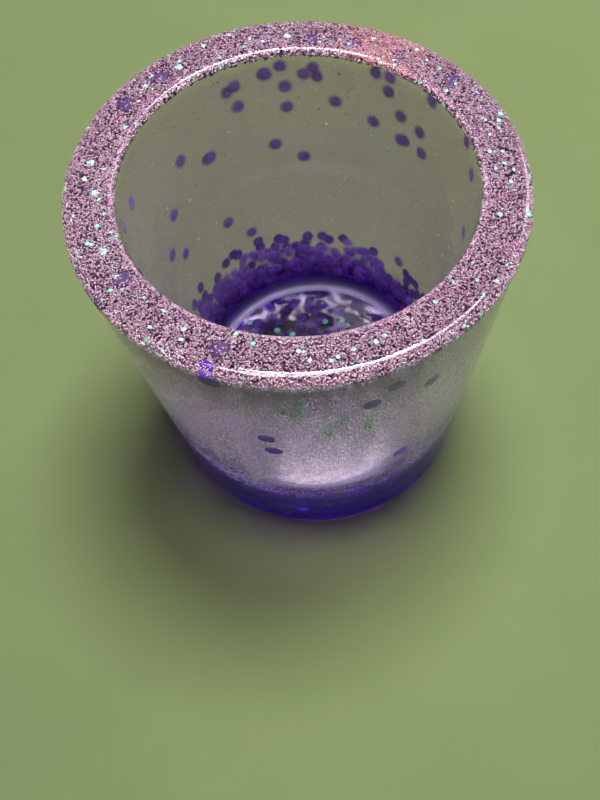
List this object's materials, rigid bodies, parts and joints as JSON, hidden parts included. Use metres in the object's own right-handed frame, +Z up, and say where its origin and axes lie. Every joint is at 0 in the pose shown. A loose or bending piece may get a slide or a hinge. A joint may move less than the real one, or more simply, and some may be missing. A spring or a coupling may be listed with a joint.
{
  "type": "small cast resin cup",
  "caption": "Small tapered round cup cast in clear glitter resin, with a thick wall, a flat glittered rim, a purple base and round purple dots set in it.",
  "frame": {"origin": "centre of the flat underside, on the cup's axis", "axes": "+Z up the cup's axis to the rim; -Y is the side nearest the viewer"},
  "size_m": [0.05, 0.05, 0.046],
  "materials": {
    "shimmer_resin": "clear cast epoxy resin with a fine pink and lilac shimmer",
    "rim_glitter": "clear cast epoxy resin packed with fine pink and purple glitter",
    "purple_resin": "clear cast epoxy resin full of dark purple dot glitter",
    "purple_dot": "metallised polyester film, purple",
    "green_flake": "holographic polyester film, green"
  },
  "bodies": {
    "root": {"base_pour": "purple_resin", "wall_pour": "shimmer_resin", "rim_layer": "rim_glitter", "purple_dot_01": "purple_dot", "purple_dot_02": "purple_dot", "purple_dot_03": "purple_dot", "purple_dot_04": "purple_dot", "purple_dot_05": "purple_dot", "purple_dot_06": "purple_dot", "purple_dot_07": "purple_dot", "purple_dot_08": "purple_dot", "purple_dot_09": "purple_dot", "purple_dot_10": "purple_dot", "purple_dot_11": "purple_dot", "purple_dot_12": "purple_dot", "purple_dot_13": "purple_dot", "purple_dot_14": "purple_dot", "purple_dot_15": "purple_dot", "purple_dot_16": "purple_dot", "purple_dot_17": "purple_dot", "purple_dot_18": "purple_dot", "purple_dot_19": "purple_dot", "purple_dot_20": "purple_dot", "purple_dot_21": "purple_dot", "purple_dot_22": "purple_dot", "purple_dot_23": "purple_dot", "purple_dot_24": "purple_dot", "purple_dot_25": "purple_dot", "purple_dot_26": "purple_dot", "purple_dot_27": "purple_dot", "purple_dot_28": "purple_dot", "purple_dot_29": "purple_dot", "purple_dot_30": "purple_dot", "purple_dot_31": "purple_dot", "purple_dot_32": "purple_dot", "purple_dot_33": "purple_dot", "purple_dot_34": "purple_dot", "purple_dot_35": "purple_dot", "purple_dot_36": "purple_dot", "purple_dot_37": "purple_dot", "purple_dot_38": "purple_dot", "purple_dot_39": "purple_dot", "purple_dot_40": "purple_dot", "green_flake_01": "green_flake", "green_flake_02": "green_flake", "green_flake_03": "green_flake", "green_flake_04": "green_flake", "green_flake_05": "green_flake", "green_flake_06": "green_flake", "green_flake_07": "green_flake", "green_flake_08": "green_flake", "green_flake_09": "green_flake", "green_flake_10": "green_flake", "green_flake_11": "green_flake", "green_flake_12": "green_flake", "green_flake_13": "green_flake", "green_flake_14": "green_flake", "green_flake_15": "green_flake"}
  },
  "joints": []
}
